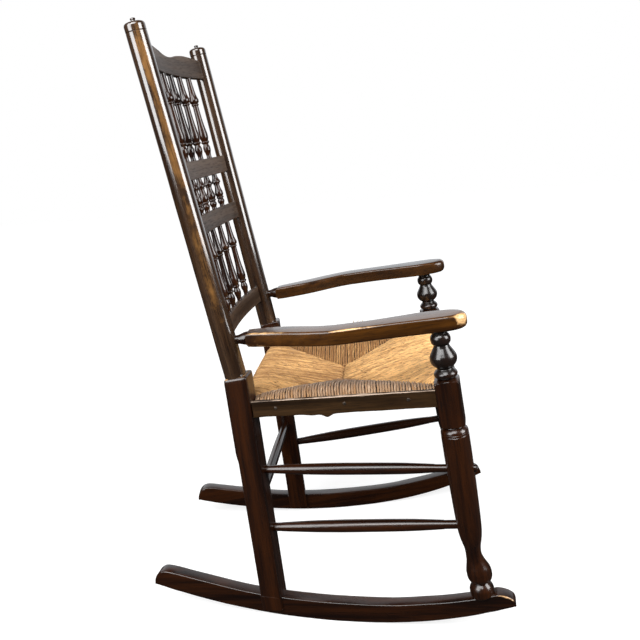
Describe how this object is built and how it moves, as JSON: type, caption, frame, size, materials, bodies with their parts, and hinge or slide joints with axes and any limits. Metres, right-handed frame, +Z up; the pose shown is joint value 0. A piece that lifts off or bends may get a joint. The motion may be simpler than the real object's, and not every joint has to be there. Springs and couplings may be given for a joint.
{
  "type": "rocking chair",
  "caption": "Spindle-back rocking armchair: round posts on square legs, turned spindles, bowed flat arms, rush seat, sawn rockers.",
  "frame": {"origin": "on the floor, under the middle of the chair's depth and width, with the chair leaning back at its balance", "axes": "+Z up, -Y the way the sitter faces, +X the sitter's left"},
  "size_m": [0.5306, 0.7156, 1.1182],
  "materials": {
    "dark_wood": "waxed, worn to golden brown on arms and posts",
    "bare_wood": "unfinished, hidden in the rush",
    "rush": "hand-twisted rush, tan, greyed at the edges"
  },
  "bodies": {
    "root": {"arm_left": "dark_wood", "arm_right": "dark_wood", "back_post_left": "dark_wood", "back_post_right": "dark_wood", "back_stretcher": "dark_wood", "bottom_cross_rail": "dark_wood", "crest_rail": "dark_wood", "front_leg_left": "dark_wood", "front_leg_right": "dark_wood", "front_stretcher": "dark_wood", "lower_side_stretcher_left": "dark_wood", "lower_side_stretcher_right": "dark_wood", "lower_spindle_1": "dark_wood", "lower_spindle_2": "dark_wood", "lower_spindle_3": "dark_wood", "lower_spindle_4": "dark_wood", "lower_spindle_5": "dark_wood", "middle_cross_rail": "dark_wood", "middle_spindle_1": "dark_wood", "middle_spindle_2": "dark_wood", "middle_spindle_3": "dark_wood", "middle_spindle_4": "dark_wood", "middle_spindle_5": "dark_wood", "rocker_left": "dark_wood", "rocker_right": "dark_wood", "rush_seat": "rush", "seat_rail_back": "bare_wood", "seat_rail_front": "bare_wood", "seat_rail_left": "bare_wood", "seat_rail_right": "bare_wood", "seat_strip_front": "dark_wood", "seat_strip_left": "dark_wood", "seat_strip_right": "dark_wood", "upper_cross_rail": "dark_wood", "upper_side_stretcher_left": "dark_wood", "upper_side_stretcher_right": "dark_wood", "upper_spindle_1": "dark_wood", "upper_spindle_2": "dark_wood", "upper_spindle_3": "dark_wood", "upper_spindle_4": "dark_wood", "upper_spindle_5": "dark_wood"}
  },
  "joints": []
}
